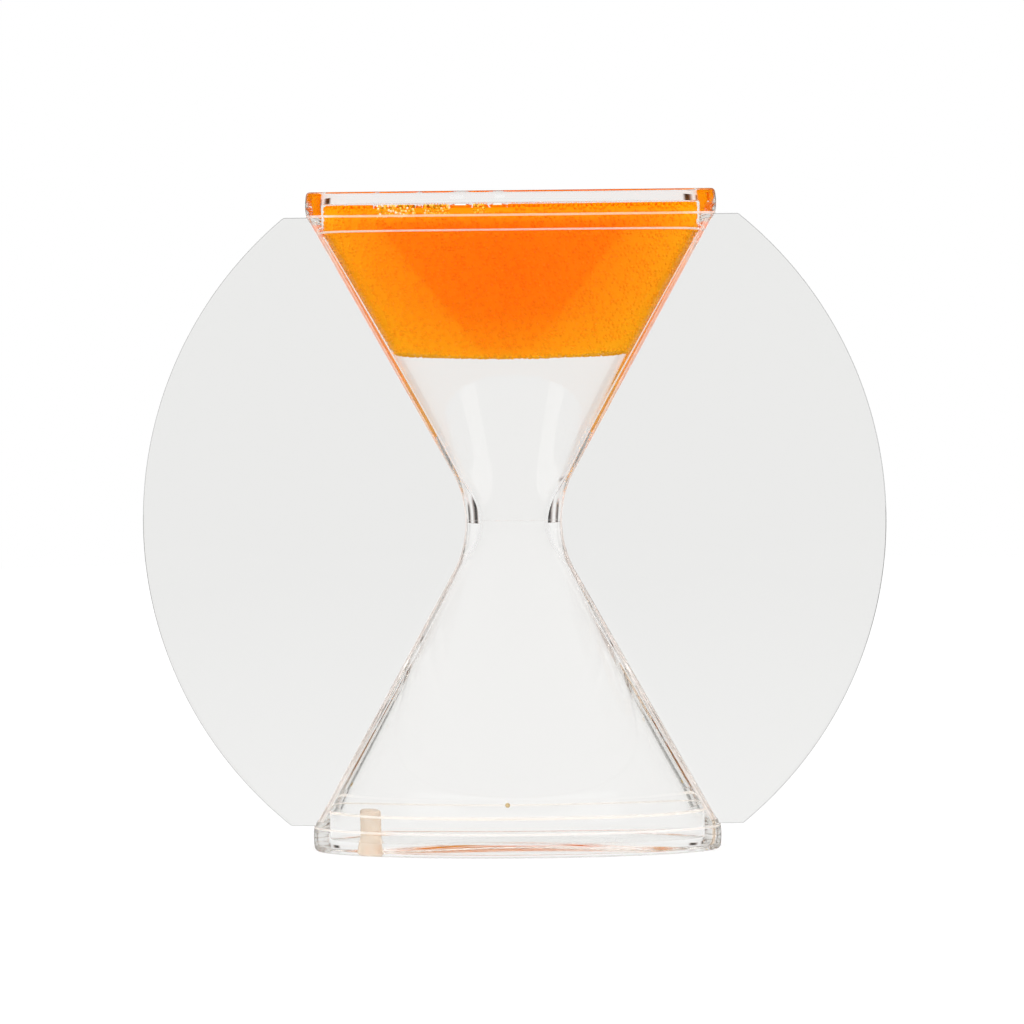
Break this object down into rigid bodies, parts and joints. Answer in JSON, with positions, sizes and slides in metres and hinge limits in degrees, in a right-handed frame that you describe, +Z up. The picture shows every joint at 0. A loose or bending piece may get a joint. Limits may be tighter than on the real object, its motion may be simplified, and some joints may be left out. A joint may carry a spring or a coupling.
{
  "type": "liquid motion timer",
  "caption": "Clear hourglass timer between two clear wings: buoyant beads rise through liquid in a narrow throat and gather under the upper cap.",
  "frame": {"origin": "centre of the flat base under the lower cap", "axes": "+Z up through the throat, +X to the right along the wings, front towards -Y"},
  "size_m": [0.1238, 0.0252, 0.11],
  "materials": {
    "clear_acrylic": "polished clear acrylic",
    "pale_plug": "pale moulded plastic, slightly translucent",
    "orange_beads": "fine glossy beads, wet",
    "clear_liquid": "clear liquid"
  },
  "bodies": {
    "vessel": {"upper_chamber": "clear_acrylic", "lower_chamber": "clear_acrylic", "upper_cap": "clear_acrylic", "lower_cap": "clear_acrylic", "left_wing": "clear_acrylic", "right_wing": "clear_acrylic", "filler_plug": "pale_plug", "bead_bed": "orange_beads", "carrier_liquid": "clear_liquid"},
    "loose_bead": {"rising_bead": "orange_beads"}
  },
  "joints": [
    {"name": "bead_rise", "type": "slide", "parent": "vessel", "child": "loose_bead", "axis": [0, 0, 1], "range_m": [0, 0.074], "deforming": ["carrier_liquid"]}
  ]
}
